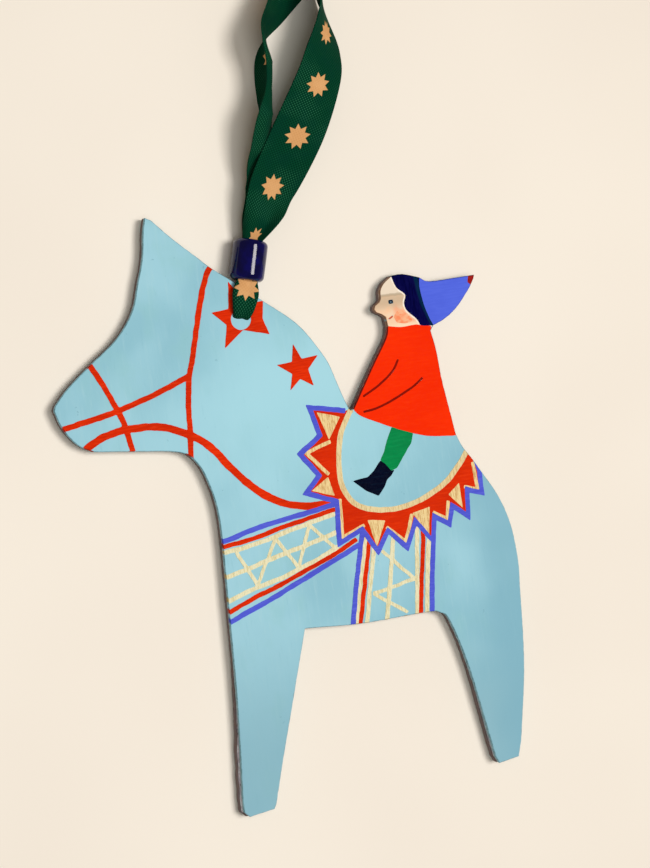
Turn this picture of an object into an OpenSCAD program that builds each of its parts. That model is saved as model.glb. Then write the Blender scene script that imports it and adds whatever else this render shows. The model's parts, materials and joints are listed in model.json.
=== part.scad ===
// Flat hanging ornament: a rider on a horse, cut from two glued plies of card,
// painted in folk style on its front, with a ribbon loop and a glossy bead.
// It lies on its back: +Z out of the painted face, +Y from hooves to ears, muzzle towards -X.

/* [Board] */
// Thickness of one card ply
ply_t = 1.45; // [1.2:0.05:1.6]
// Thickness of the glue film between the plies
glue_t = 0.1; // [0.06:0.02:0.2]
// How far the glue film stays inside the cut edge
glue_inset = 0.4; // [0.2:0.1:0.8]
// Height of the board's back above the surface, where the ribbon passes under it
board_lift = 0.55; // [0.5:0.05:0.7]
// Diameter of the hanging hole
hole_d = 4; // [3.9:0.1:4.4]

/* [Paint] */
// Thickness of a painted coat
paint_t = 0.1; // [0.06:0.02:0.14]
// Width of the bridle's thin straps
strap_w = 1.2; // [0.8:0.1:1.6]
// Width of the reins
rein_w = 1.6; // [1.2:0.1:2]
// Width of the blue outlines
outline_w = 1.1; // [0.9:0.1:1.3]
// Width of the gold line round the saddle cloth
gold_line_w = 1.2; // [0.9:0.1:1.4]

/* [Bead] */
// Outer diameter of the bead
bead_d = 7.6; // [7.4:0.1:7.8]
// Length of the bead
bead_l = 8.8; // [8:0.1:9]
// Bore of the bead
bead_bore_d = 4.2; // [4.1:0.1:4.5]
// Radius of the bead's outer corners
bead_round = 1.1; // [0.6:0.1:1.2]

/* [Ribbon] */
// Angle of the ribbon loop from +Y towards +X
loop_lean = 16; // [10:1:22]
// Distance from the hanging hole to the middle of the bead
bead_reach = 12.75; // [12.7:0.05:13.5]
// Thickness of the open ribbon
ribbon_t = 0.35; // [0.25:0.05:0.45]

/* [Hidden] */

board_t = 2 * ply_t + glue_t;
face_z = board_lift + board_t;
hole_at = [-6.5, 41];
bore_fn = 64;
curve_steps = 4;
stroke_steps = 3;
ribbon_steps = 3;
bead_inner_round = 0.5;
hole_rim = 0.25;
clip_t = 1;

red = "#dc3206";
blue_line = "#4f63dc";
gold = "#e6cf94";
board_blue = "#9cc9d9";

// ---- Curves and strokes ----

function unit(v) = v / norm(v);

// Point at t on the curve through b and c, with a and d beyond them
function spline_point(a, b, c, d, t) =
    0.5 * (2 * b + (c - a) * t + (2 * a - 5 * b + 4 * c - d) * t * t
           + (3 * b - a - 3 * c + d) * t * t * t);

// Smooth open curve through every point
function curve(points, steps = curve_steps) =
    let (last = len(points) - 1)
    [for (i = [0:last - 1])
        let (before = i > 0 ? points[i - 1] : 2 * points[0] - points[1],
             after = i < last - 1 ? points[i + 2] : 2 * points[last] - points[last - 1])
        for (k = [0:steps - 1])
            spline_point(before, points[i], points[i + 1], after, k / steps),
     points[last]];

// Sideways step at point i of a line, lengthened at a corner
function side_step(points, i) =
    let (last = len(points) - 1,
         ahead = unit(points[min(i + 1, last)] - points[min(i, last - 1)]),
         behind = unit(points[max(i, 1)] - points[max(i - 1, 0)]),
         along = unit(ahead + behind),
         spread = 1 / max(0.5, along * ahead))
    [-along[1], along[0]] * spread;

function stroke_edge(points, width) =
    concat([for (i = [0:len(points) - 1]) points[i] + side_step(points, i) * width / 2],
           [for (i = [len(points) - 1:-1:0]) points[i] - side_step(points, i) * width / 2]);

// One brush line of even width
module stroke(points, width) {
    polygon(stroke_edge(points, width));
}

module curved_stroke(points, width) {
    stroke(curve(points, stroke_steps), width);
}

// Every coat of paint lies on the front face
module paint(tint) {
    color(tint)
        in_frame()
            translate([0, 0, face_z])
                linear_extrude(paint_t)
                    children();
}

// ---- The silhouette ----

forehead = curve([[-24.2, 65], [-25, 62], [-26, 56.5], [-27.8, 51.3], [-29.8, 45.8],
                  [-34, 40.5], [-40.7, 35.6], [-46, 31.5], [-49, 28.4]]);
muzzle = curve([[-49.4, 27.4], [-48.2, 23.5], [-45.5, 19.6], [-42.3, 17.7]]);
jaw = curve([[-42.3, 17.7], [-34, 16.5], [-23.9, 14.8], [-20.6, 12], [-18.9, 8],
             [-17.7, 2], [-17.6, -5], [-18.3, -18], [-19.5, -40], [-21.4, -61]]);
front_hoof = [[-21.5, -63.8], [-20.4, -65], [-14.8, -64.4], [-14.2, -63.4]];
front_leg_back = curve([[-11.3, -54.3], [-6.7, -40.7], [-2.2, -27.2]], 3);
belly = curve([[-1.6, -27.2], [8, -28.2], [15, -28.5], [26.5, -28.6], [29.4, -29.3],
               [31.3, -31.6], [34.3, -43], [37.5, -63.4]]);
hind_hoof = [[38.2, -65], [43, -64.4]];
rump = curve([[44.1, -61], [46.8, -47.8], [48, -38.8], [48.9, -27.6], [49.4, -21],
              [49, -14], [47.9, -9], [46.2, -4.6], [44, -0.6], [42, 3], [40, 6.2], [39, 8.7]]);
coat_back = curve([[38.8, 9.3], [38.1, 15.2], [37.3, 22], [37, 28], [36.3, 32.8]]);
hat_under = curve([[37.1, 33.8], [40.1, 35], [43, 36.9], [46.2, 40.2], [48.1, 42.8]], 3);
hat_top = curve([[48.4, 43.7], [43, 43.6], [37.6, 43.6], [35.3, 44.8]], 3);
hair_top = curve([[35.3, 44.8], [31.5, 46], [28.8, 45.9]], 3);
brow = curve([[28.8, 45.9], [26.8, 44.5], [25.8, 43], [25.6, 41.3], [25.2, 40.6]], 3);
nose_and_chin = [[24.1, 39.9], [23.8, 39.1], [24.2, 38.4], [25.5, 37.7], [26.2, 37.1], [26.4, 35.1]];
coat_front = curve([[26.4, 35.1], [25.6, 32.5], [21.6, 26.8], [15.9, 18.3]]);
withers = [15.2, 18.1];
mane = curve([[14.8, 18.7], [13.7, 22], [12.7, 25.6], [11.6, 29.2], [9.6, 33], [7, 37],
              [4.1, 40.1], [-1, 44.3], [-6.8, 49.1], [-11.4, 52.7], [-14.7, 55.9],
              [-18.9, 59.9], [-22.9, 64.3]]);

outline = concat(forehead, muzzle, jaw, front_hoof, front_leg_back, belly, hind_hoof, rump,
                 coat_back, hat_under, hat_top, hair_top, brow, nose_and_chin, coat_front,
                 [withers], mane);

// The origin is the middle of the whole ornament's footprint, on the surface it lies on
module in_frame() {
    translate([-footprint_middle[0], -footprint_middle[1], 0])
        children();
}

module hanging_hole(rim = 0) {
    translate(hole_at)
        circle(d = hole_d + 2 * rim, $fn = bore_fn);
}

module silhouette() {
    difference() {
        polygon(outline);
        hanging_hole();
    }
}

module back_ply() {
    color("#9fb7bd")
        in_frame()
            translate([0, 0, board_lift])
                linear_extrude(ply_t)
                    silhouette();
}

module glue_film() {
    color("#5a5048")
        in_frame()
            translate([0, 0, board_lift + ply_t])
                linear_extrude(glue_t)
                    difference() {
                        offset(delta = -glue_inset)
                            polygon(outline);
                        hanging_hole(glue_inset);
                    }
}

module front_ply() {
    color(board_blue)
        in_frame()
            translate([0, 0, board_lift + ply_t + glue_t])
                linear_extrude(ply_t)
                    silhouette();
}

// ---- Bridle and stars ----

cheek_strap = [[-11.3, 53.5], [-13.3, 50], [-14.6, 46.5], [-16.5, 40.5], [-18.2, 34.5],
               [-19.7, 30], [-20.6, 25], [-21.2, 19], [-21.9, 13]];
nose_strap = [[-49.2, 23.2], [-42.2, 24.3], [-36.2, 25.4], [-31.7, 26.5], [-27.8, 27.7],
              [-23.4, 29.2], [-19.6, 30.6]];
nose_band = [[-40.9, 36.3], [-39.3, 33.3], [-38, 30.3], [-36.1, 25.9], [-34.8, 21], [-34, 15.5]];
reins = [[-44.6, 18], [-41, 20], [-38, 20.9], [-34.9, 21.3], [-31.5, 21.3], [-28, 20.9],
         [-24.1, 19.6], [-20.7, 17.7], [-17.2, 14.9], [-13.8, 10.3], [-9.5, 5.2],
         [-6.2, 2.5], [-2.5, 0.3], [1.5, -0.9], [5.2, -1.2], [9, -1]];

module bridle_paint() {
    paint(red)
        difference() {
            intersection() {
                union() {
                    curved_stroke(cheek_strap, strap_w);
                    curved_stroke(nose_strap, strap_w);
                    curved_stroke(nose_band, strap_w);
                    curved_stroke(reins, rein_w);
                }
                polygon(outline);
            }
            saddle_cloth_area();
            breast_band_blue_lines();
        }
}

big_star = [[-8.1, 49.4], [-8.9, 43.6], [-12.8, 43.2], [-9.8, 40.2], [-10.9, 35.3],
            [-6.4, 38.7], [-0.6, 37], [-1.7, 40.6], [-1, 44.4], [-4.9, 43.9]];
small_star = [[4.3, 34.2], [5.7, 30.8], [9.5, 31], [6.9, 28.4], [7.6, 24.6],
              [4.8, 26.5], [2.2, 24.3], [3.2, 27.8], [0, 30.2], [3.5, 30.4]];

module neck_stars_paint() {
    paint(red) {
        intersection() {
            difference() {
                polygon(big_star);
                hanging_hole(hole_rim);
            }
            polygon(outline);
        }
        polygon(small_star);
    }
}

// ---- Saddle cloth ----

saddle_curve = curve([[15.3, 18.3], [13.4, 15.6], [11.9, 12.6], [10.9, 8], [10.6, 4],
                      [11.2, 0.8], [12.8, -1.9], [15.7, -3.7], [20.2, -4.7], [24.8, -4.6],
                      [29.8, -3.3], [33.7, -1.5], [37.3, 1.2], [41.3, 5.8]], 3);
saddle_teeth = [[14, 18.2], [5.9, 20.1], [7.4, 13.7], [2.3, 10.4], [5.9, 5.1], [2.5, 1.8],
                [9, -1.1], [8.3, -10.2], [13.9, -8], [16.8, -13.4], [19.8, -9.3],
                [23.7, -13.6], [26.4, -8.3], [29.9, -13.2], [31, -7.9], [34.3, -10.2],
                [35.5, -6.3], [38.9, -9.2], [39.6, -3.3], [43, -4.6], [43, 0.4], [42.2, 4.6]];
gold_teeth = [[[7.4, 18.8], [12.5, 17.1], [9.3, 12.5]],
              [[3.7, 2.1], [7.9, 4.5], [8.7, 0.2]],
              [[15.4, -6.2], [19.5, -6.9], [16.7, -12.4]],
              [[26, -6.4], [30.2, -5.6], [29.2, -11.9]],
              [[35, -3.7], [37.9, -1.5], [37.9, -7.2]]];
// Gold edges of the red teeth between them
gold_edges = [[[9.6, 12.1], [3.7, 10.4], [8.2, 5]],
              [[9.8, -0.6], [9.2, -9], [14.6, -7.2]],
              [[19.5, -8.4], [23.5, -12.3], [25.9, -6.6]],
              [[30.7, -6.9], [33.9, -9], [34.7, -5]],
              [[38.9, -2.6], [42.1, -3.6], [41.7, 2.6]]];
gold_edge_w = 0.8;

module saddle_blue_lines() {
    stroke(saddle_teeth, outline_w);
}

module saddle_cloth_area() {
    polygon(concat(saddle_teeth, [for (i = [len(saddle_curve) - 1:-1:0]) saddle_curve[i]]));
    saddle_blue_lines();
    stroke(saddle_curve, gold_line_w);
}

module saddle_gold_marks() {
    for (tooth = gold_teeth)
        polygon(tooth);
    for (edge = gold_edges)
        stroke(edge, gold_edge_w);
}

module saddle_blue_outline() {
    paint(blue_line)
        intersection() {
            saddle_blue_lines();
            polygon(outline);
        }
}

module saddle_gold_line() {
    paint(gold)
        difference() {
            intersection() {
                stroke(saddle_curve, gold_line_w);
                polygon(outline);
            }
            saddle_blue_lines();
            polygon(coat_area);
        }
}

module saddle_gold_paint() {
    paint(gold)
        difference() {
            saddle_gold_marks();
            saddle_blue_lines();
            stroke(saddle_curve, gold_line_w);
        }
}

module saddle_red_paint() {
    paint(red)
        difference() {
            intersection() {
                saddle_cloth_area();
                polygon(outline);
            }
            saddle_blue_lines();
            saddle_gold_marks();
            stroke(saddle_curve, gold_line_w);
            polygon(coat_area);
        }
}

// ---- Breast band ----

band_line_w = 1;
lattice_w = 0.8;
breast_blue = [[[-18.6, -5.5], [-15.4, -5.2], [-11.2, -4.1], [-4.7, -3.2], [1.3, -2.5], [9, -1.5]],
               [[-19.2, -23.1], [-13.8, -21.2], [-9.5, -19.8], [-3, -17.3], [3.1, -15],
                [8.5, -12.9], [12.8, -11.2]]];
breast_red = [[[-18.8, -6.8], [-11.5, -6], [-4.8, -4.8], [1.1, -3.8], [8.4, -2.7]],
              [[-19.2, -21], [-11.8, -18.4], [-6.5, -16.9], [-1.8, -15.3], [5.7, -12.8], [12.4, -9.9]]];
breast_gold = [[[-18.8, -8], [-12.8, -7.5], [-6.1, -6.4], [-0.5, -5.2], [8.2, -3.7]],
               [[-18.8, -13.3], [-13.5, -12.4], [-8.2, -11.1], [0.3, -9.4], [8.5, -7.6]],
               [[-19, -18.6], [-11.5, -16.5], [-6.5, -15.6], [-1.6, -14.1], [3, -12.8], [8, -10.8]]];
breast_lattice = [[-15, -8.2], [-11.3, -16], [-5.9, -6.8], [-1.7, -13.8], [2.1, -5.2], [7.2, -11]];

module breast_band_blue_lines() {
    for (line = breast_blue)
        curved_stroke(line, outline_w);
}

module breast_band_red_lines() {
    for (line = breast_red)
        curved_stroke(line, band_line_w);
}

module breast_band_blue() {
    paint(blue_line)
        difference() {
            intersection() {
                breast_band_blue_lines();
                polygon(outline);
            }
            saddle_cloth_area();
            girth_blue_lines();
        }
}

module breast_band_red() {
    paint(red)
        difference() {
            intersection() {
                breast_band_red_lines();
                polygon(outline);
            }
            saddle_cloth_area();
            breast_band_blue_lines();
            girth_blue_lines();
        }
}

module breast_band_gold() {
    paint(gold)
        difference() {
            intersection() {
                union() {
                    for (line = breast_gold)
                        curved_stroke(line, band_line_w);
                    for (i = [0:len(breast_lattice) - 2])
                        stroke([breast_lattice[i], breast_lattice[i + 1]], lattice_w);
                }
                polygon(outline);
            }
            saddle_cloth_area();
            breast_band_red_lines();
            breast_band_blue_lines();
        }
}

// ---- Girth ----

girth_blue_paths = [[[14.2, -7.6], [12.2, -14.5], [10, -23], [8.3, -30]],
                    [[31, -8], [29.8, -14.2], [28.5, -21], [27.2, -30]]];
girth_red_paths = [[[16, -7.8], [14.8, -12.2], [12.4, -21.2], [10, -30]],
                   [[27.9, -10], [27.4, -14.2], [26, -21], [24.4, -30]]];
girth_gold_paths = [[[14.8, -8.6], [13.5, -13.7], [11.2, -21.5], [9.2, -30]],
                    [[16.5, -10.5], [15.4, -15], [13.7, -21.5], [11.6, -30]],
                    [[21, -10], [18.7, -20], [16.3, -30]],
                    [[26.7, -9], [25.4, -18], [23.6, -30]],
                    [[29, -12.5], [27.9, -18], [25.9, -30]]];
girth_lattice = [[17.6, -13.4], [24.4, -20.8], [14.4, -22.4], [21.6, -27.8]];

module girth_blue_lines() {
    for (line = girth_blue_paths)
        curved_stroke(line, outline_w);
}

module girth_red_lines() {
    for (line = girth_red_paths)
        curved_stroke(line, band_line_w);
}

module girth_blue() {
    paint(blue_line)
        difference() {
            intersection() {
                girth_blue_lines();
                polygon(outline);
            }
            saddle_cloth_area();
        }
}

module girth_red() {
    paint(red)
        difference() {
            intersection() {
                girth_red_lines();
                polygon(outline);
            }
            saddle_cloth_area();
            girth_blue_lines();
        }
}

module girth_gold() {
    paint(gold)
        difference() {
            intersection() {
                union() {
                    for (line = girth_gold_paths)
                        curved_stroke(line, band_line_w);
                    for (i = [0:len(girth_lattice) - 2])
                        stroke([girth_lattice[i], girth_lattice[i + 1]], lattice_w);
                }
                polygon(outline);
            }
            saddle_cloth_area();
            girth_red_lines();
            girth_blue_lines();
        }
}

// ---- Rider ----

coat_hem = curve([[16, 17.8], [17.4, 16.5], [20.2, 15], [24, 13.1], [29, 10.9], [33.4, 9.6], [38.8, 9]], 3);
collar = curve([[36.5, 33.8], [32.9, 34.6], [29.3, 34.5], [26.4, 35.1]], 3);
coat_area = concat(coat_hem, coat_back, collar, coat_front);
coat_folds = [[[27.7, 27.6], [26.3, 25.5], [23.6, 23.3], [20.3, 21.5], [18.4, 20.6]],
              [[32.8, 22.8], [30.4, 21.2], [27.1, 19.7], [24.1, 18.5], [20.9, 17.6], [18, 17.3]]];
fold_w = 0.5;
brim = curve([[35.3, 44.8], [35.1, 43], [35.2, 40.6], [35.7, 38], [36.4, 35.6], [37.1, 33.8]], 3);
hair_front = curve([[28.8, 45.9], [29.6, 43.3], [31.5, 41.4], [30.9, 39.6], [31.4, 37.8],
                    [33.3, 35.8], [34, 34.3]], 3);
hat_tip = [[46.9, 43.8], [46.5, 42.3], [47.4, 41.4], [48.3, 42.6], [48.6, 43.9]];
cheek = curve([[28.6, 35.6], [28.2, 37], [29.4, 38.2], [30.4, 37.8], [31.7, 36.6], [32.2, 35.5],
               [30.5, 35.2], [28.6, 35.6]], 3);
eye_at = [27.9, 40.3];
eye_size = [1.1, 0.9];
mouth = [[26.8, 36.6], [27.4, 36.8], [28, 37.2]];
mouth_w = 0.35;

module face_details() {
    translate(eye_at)
        square(eye_size, center = true);
    stroke(mouth, mouth_w);
}

module hair_area() {
    polygon(concat(hair_top, hair_front, [[34.6, 34.1], [37.1, 33.8]],
                   [for (i = [len(brim) - 1:-1:0]) brim[i]]));
}

module head_area() {
    polygon(concat(hat_under, hat_top, hair_top, brow, nose_and_chin,
                   [for (i = [len(collar) - 1:-1:0]) collar[i]]));
}

module coat_paint() {
    paint(red)
        difference() {
            polygon(coat_area);
            for (fold = coat_folds)
                curved_stroke(fold, fold_w);
            hair_area();
        }
}

module coat_folds_paint() {
    paint("#8c1506")
        intersection() {
            union() {
                for (fold = coat_folds)
                    curved_stroke(fold, fold_w);
            }
            polygon(coat_area);
        }
}

module hat_paint() {
    paint("#4b63e0")
        difference() {
            polygon(concat(hat_under, hat_top, brim));
            polygon(hat_tip);
        }
}

module hat_tip_paint() {
    paint("#a8261c")
        intersection() {
            polygon(hat_tip);
            polygon(outline);
        }
}

module hair_paint() {
    paint("#03034a")
        hair_area();
}

module face_paint() {
    paint("#f3d3b4")
        difference() {
            head_area();
            hair_area();
            polygon(concat(hat_under, hat_top, brim));
            polygon(cheek);
            face_details();
        }
}

module cheek_paint() {
    paint("#f9a27c")
        difference() {
            polygon(cheek);
            hair_area();
            face_details();
        }
}

module eye_and_mouth_paint() {
    paint("#20303c")
        face_details();
}

trouser = [[24.2, 13.4], [28.9, 11.3], [28, 8.9], [23.9, 4], [22.5, 3.6], [21.3, 5.3],
           [20.3, 6.2], [21.5, 8], [22.7, 10.6]];
boot = [[20.3, 6.2], [21.3, 5.3], [22.5, 3.6], [23.3, 3.7], [22.4, 2.6], [21.3, 1.8],
        [20.5, 0.5], [18.8, -1.4], [16.1, 0.2], [13.4, 2.7], [15, 2.9], [16.8, 3.1], [18.4, 4.1]];

module trouser_paint() {
    paint("#05924a")
        difference() {
            polygon(trouser);
            polygon(coat_area);
        }
}

module boot_paint() {
    paint("#0a1026")
        difference() {
            polygon(boot);
            polygon(trouser);
        }
}

// ---- Ribbon and bead ----
// Both are laid out from the hanging hole: X across the loop, Y along it, Z up.

module loop_place() {
    in_frame()
        translate([hole_at[0], hole_at[1], 0])
            rotate([0, 0, -loop_lean])
                children();
}

bead_z = bead_d / 2;
bead_low = bead_reach - bead_l / 2;
bead_high = bead_reach + bead_l / 2;
strand_gap = 0.55;
gather_t = 0.8;
gather_w = 1.6;
pressed_t = 0.3;

// A station inside the bead or at its mouths, where the band is gathered to the bore's width
function gathered(y, z, t) = [[-gather_w, y, z], [gather_w, y, z], t];

// Left edge, right edge and thickness at each station, up the front strand,
// round the top of the loop and down the back strand to the hole
stations = [
    [[-1.3, 0.7, 1.9], [1.3, 0.7, 1.9], gather_t],
    [[-1.3, 0.8, 3.5], [1.3, 0.8, 3.5], 0.5],
    [[-2, 2.5, 4.25], [2, 2.5, 4.25], 0.45],
    [[-2.5, 5.5, 4.3], [2.5, 5.5, 4.3], 0.5],
    gathered(bead_low - 0.1, bead_z + strand_gap, 0.7),
    gathered(bead_low + 2, bead_z + strand_gap, gather_t),
    gathered(bead_high - 2, bead_z + strand_gap, gather_t),
    gathered(bead_high + 0.1, 4.45, 0.7),
    [[-2.7, 21.5, 5.2], [4.4, 21.5, 4.6], 0.45],
    [[-2.5, 30, 7.2], [8.4, 28, 4.2], ribbon_t],
    [[0.5, 41.5, 8.1], [12.3, 40, 6.2], ribbon_t],
    [[3.9, 53.5, 10], [14.9, 53.5, 5.8], ribbon_t],
    [[4.9, 59, 11.3], [14.4, 60.5, 4.5], ribbon_t],
    [[6.2, 65, 12], [12.3, 66.5, 1.9], ribbon_t],
    [[6.4, 70, 12.2], [9.2, 71.5, 0.7], ribbon_t],
    [[5, 74, 11.9], [8.4, 74.5, 0.4], ribbon_t],
    [[1.8, 76.2, 11], [7.6, 74.8, 0.4], ribbon_t],
    [[-2.4, 74, 9.4], [5.4, 71.5, 0.4], ribbon_t],
    [[-4.9, 66.5, 10.6], [1.5, 65.5, 0.4], ribbon_t],
    [[-5.7, 59.5, 11.8], [-2.1, 60.5, 0.4], ribbon_t],
    [[-4.4, 54.5, 10.2], [-3.3, 56, 0.4], ribbon_t],
    [[-3.6, 49, 9.8], [-2.3, 50, 0.4], ribbon_t],
    [[-4.9, 43, 10], [-0.2, 44, 0.6], ribbon_t],
    [[-4.1, 35.5, 7.6], [4.4, 37, 0.8], ribbon_t],
    [[-2.7, 28, 4.8], [8, 29.5, 1.5], ribbon_t],
    [[-2.4, 21.5, 3.6], [4.2, 21.6, 2.4], 0.5],
    gathered(bead_high + 0.1, 3.15, 0.7),
    gathered(bead_high - 2, bead_z - strand_gap, gather_t),
    gathered(bead_low + 2, bead_z - strand_gap, gather_t),
    gathered(bead_low + 0.2, 3.05, 0.6),
    [[-0.8, 7.9, 2], [2.4, 7.2, 2], 0.4],
    [[-0.6, 7.7, 0.9], [2.8, 6.9, 0.9], pressed_t],
    [[-0.6, 7.4, 0.35], [2.8, 6.6, 0.35], pressed_t],
    [[-0.8, 6.4, 0.24], [2.9, 5.4, 0.24], pressed_t],
    [[-1.5, 3, 0.24], [1.7, 2.8, 0.24], pressed_t],
    [[-1.3, 1.5, 0.24], [1.3, 1.5, 0.24], pressed_t],
    [[-1.3, 0.6, 0.8], [1.3, 0.6, 0.8], 0.4]];

function wrapped(list, i) = list[(i + len(list)) % len(list)];

// The same quantity of every station, as a smooth closed curve
function loop_curve(which) =
    [for (i = [0:len(stations) - 1])
        for (k = [0:ribbon_steps - 1])
            spline_point(wrapped(stations, i - 1)[which], wrapped(stations, i)[which],
                         wrapped(stations, i + 1)[which], wrapped(stations, i + 2)[which],
                         k / ribbon_steps)];

band_left = loop_curve(0);
band_right = loop_curve(1);
band_thick = loop_curve(2);
band_rings = len(band_left);
band_middle = [for (i = [0:band_rings - 1]) (band_left[i] + band_right[i]) / 2];

// Half the band's thickness at ring i, as a step out of its face
function half_step(i) =
    unit(cross(band_right[i] - band_left[i],
               wrapped(band_middle, i + 1) - wrapped(band_middle, i - 1))) * band_thick[i] / 2;

band_points = [for (i = [0:band_rings - 1])
    each [band_left[i] + half_step(i), band_right[i] + half_step(i),
          band_right[i] - half_step(i), band_left[i] - half_step(i)]];

// Footprint of the board and the loop together, whose middle is the origin
loop_xs = [for (p = band_points) hole_at[0] + p[0] * cos(loop_lean) + p[1] * sin(loop_lean)];
loop_ys = [for (p = band_points) hole_at[1] - p[0] * sin(loop_lean) + p[1] * cos(loop_lean)];
board_xs = [for (p = outline) p[0]];
board_ys = [for (p = outline) p[1]];
footprint_middle = [(min(concat(loop_xs, board_xs)) + max(concat(loop_xs, board_xs))) / 2,
                    (min(board_ys) + max(loop_ys)) / 2];

// Both faces are split along the same diagonal, so a twisted stretch keeps its thickness
module ribbon_band() {
    faces = [for (i = [0:band_rings - 1])
        for (k = [0:3])
            let (near = 4 * i, far = 4 * ((i + 1) % band_rings), next = (k + 1) % 4)
            each k < 2
                ? [[near + k, far + k, far + next], [near + k, far + next, near + next]]
                : [[near + k, far + k, near + next], [far + k, far + next, near + next]]];
    polyhedron(band_points, faces);
}

module ribbon() {
    color("#06472c")
        loop_place()
            ribbon_band();
}

module quarter_disc(radius) {
    intersection() {
        circle(r = radius, $fn = bore_fn);
        square(radius);
    }
}

// The bead's wall from its bore outwards, with its four corners rounded
module bead_wall(inner, outer, length, inner_round, outer_round) {
    for (side = [-1, 1]) {
        translate([outer - outer_round, side * (length / 2 - outer_round)])
            rotate(side > 0 ? 0 : -90)
                quarter_disc(outer_round);
        translate([inner + inner_round, side * (length / 2 - inner_round)])
            rotate(side > 0 ? 90 : 180)
                quarter_disc(inner_round);
    }
    translate([inner, -length / 2 + inner_round])
        square([inner_round, length - 2 * inner_round]);
    translate([inner + inner_round, -length / 2])
        square([outer - inner - inner_round - outer_round, length]);
    translate([outer - outer_round, -length / 2 + outer_round])
        square([outer_round, length - 2 * outer_round]);
}

module bead() {
    color("#04043c")
        loop_place()
            translate([0, bead_reach, bead_z])
                rotate([-90, 0, 0])
                    rotate_extrude($fn = bore_fn)
                        bead_wall(bead_bore_d / 2, bead_d / 2, bead_l, bead_inner_round, bead_round);
}

back_ply();
glue_film();
front_ply();
ribbon();
bead();
bridle_paint();
neck_stars_paint();
saddle_gold_line();
saddle_red_paint();
saddle_gold_paint();
saddle_blue_outline();
breast_band_blue();
breast_band_red();
breast_band_gold();
girth_blue();
girth_red();
girth_gold();
coat_paint();
coat_folds_paint();
hat_paint();
hat_tip_paint();
hair_paint();
face_paint();
cheek_paint();
eye_and_mouth_paint();
trouser_paint();
boot_paint();
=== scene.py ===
"""Looks of the flat painted horse ornament: two card plies, films of paint, a printed ribbon and a bead."""

import json
import math

import bmesh
import bpy
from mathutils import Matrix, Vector, geometry, kdtree, noise


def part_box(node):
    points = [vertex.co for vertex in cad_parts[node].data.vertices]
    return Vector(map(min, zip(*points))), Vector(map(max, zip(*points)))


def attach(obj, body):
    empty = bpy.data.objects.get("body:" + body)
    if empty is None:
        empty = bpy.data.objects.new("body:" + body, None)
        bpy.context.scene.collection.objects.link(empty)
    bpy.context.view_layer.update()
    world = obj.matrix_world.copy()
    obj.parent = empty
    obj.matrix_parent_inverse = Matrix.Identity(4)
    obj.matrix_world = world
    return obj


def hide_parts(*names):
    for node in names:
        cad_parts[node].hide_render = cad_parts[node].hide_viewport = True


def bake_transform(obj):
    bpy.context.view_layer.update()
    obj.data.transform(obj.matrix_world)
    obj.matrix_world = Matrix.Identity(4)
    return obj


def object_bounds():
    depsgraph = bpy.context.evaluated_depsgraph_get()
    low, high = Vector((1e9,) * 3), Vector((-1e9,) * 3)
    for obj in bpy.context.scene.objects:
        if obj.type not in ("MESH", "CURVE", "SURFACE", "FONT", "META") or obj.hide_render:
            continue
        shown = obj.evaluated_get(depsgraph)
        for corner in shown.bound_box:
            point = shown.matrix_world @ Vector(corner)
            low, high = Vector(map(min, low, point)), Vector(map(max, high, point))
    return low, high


MM = 0.001

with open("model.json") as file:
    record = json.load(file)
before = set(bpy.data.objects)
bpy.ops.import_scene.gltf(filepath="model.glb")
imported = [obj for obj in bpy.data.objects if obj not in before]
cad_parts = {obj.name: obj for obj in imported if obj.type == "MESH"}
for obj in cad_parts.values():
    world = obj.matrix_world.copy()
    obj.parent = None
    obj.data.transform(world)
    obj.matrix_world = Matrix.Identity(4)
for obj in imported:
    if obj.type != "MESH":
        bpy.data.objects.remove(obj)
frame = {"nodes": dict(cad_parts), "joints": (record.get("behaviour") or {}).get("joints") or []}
cad_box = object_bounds()

# ---- Driving dimensions, in millimetres unless they say otherwise ----

BOARD_LOW, BOARD_HIGH = (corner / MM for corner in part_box("front_ply"))
FACE_Z = BOARD_HIGH.z
HINGE = next(j for j in frame["joints"] if j["name"] == "ribbon_swing")
BEAD_JOINT = next(j for j in frame["joints"] if j["name"] == "bead_slide")
HOLE = Vector(HINGE["pos_m"][:2]) / MM
ALONG = Vector(BEAD_JOINT["axis"][:2]).normalized()
ACROSS = Vector((ALONG.y, -ALONG.x))
BEAD_CENTRE = (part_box("bead")[0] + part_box("bead")[1]) / 2 / MM

EDGE_ROUND = 0.16
SEAM_ROUND = 0.32
CUT_ROUGHNESS = 0.1
OUTLINE_STEP = 0.35
FILM_STEP = 0.16

RIBBON_WIDTH = 12.0
RIBBON_THICK = 0.24
STAR_PITCH = 12.4
STAR_RADIUS = 2.95
STAR_WAIST = 0.62
STAR_POINTS = 9
WEAVE_PITCH = 0.37


# ---- Camera ----

def make_camera():
    """Looks down on the ornament, leaning towards its muzzle, with the picture turned a little."""
    lean, turn = math.radians(18), math.radians(8.6)
    distance = 450 * MM
    target = Vector((8.64, -10.7, FACE_Z - 0.15)) * MM
    level = Vector((math.cos(turn), -math.sin(turn), 0))
    up = Vector((math.sin(turn), math.cos(turn), 0))
    back = Vector((0, 0, math.cos(lean))) - level * math.sin(lean)
    camera = bpy.data.objects.new("camera", bpy.data.cameras.new("camera"))
    bpy.context.scene.collection.objects.link(camera)
    camera.rotation_mode = "QUATERNION"
    camera.location = target + back * distance
    right = up.cross(back)
    turned = camera.matrix_world.to_3x3()
    turned.col[0], turned.col[1], turned.col[2] = right, up, back
    camera.rotation_quaternion = turned.to_quaternion()
    camera.data.sensor_width = 36
    camera.data.lens = 85.85
    camera.data.clip_start = 0.01
    bpy.context.scene.camera = camera
    return level, up


PICTURE_RIGHT, PICTURE_UP = make_camera()


# ---- Node graphs ----

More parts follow.
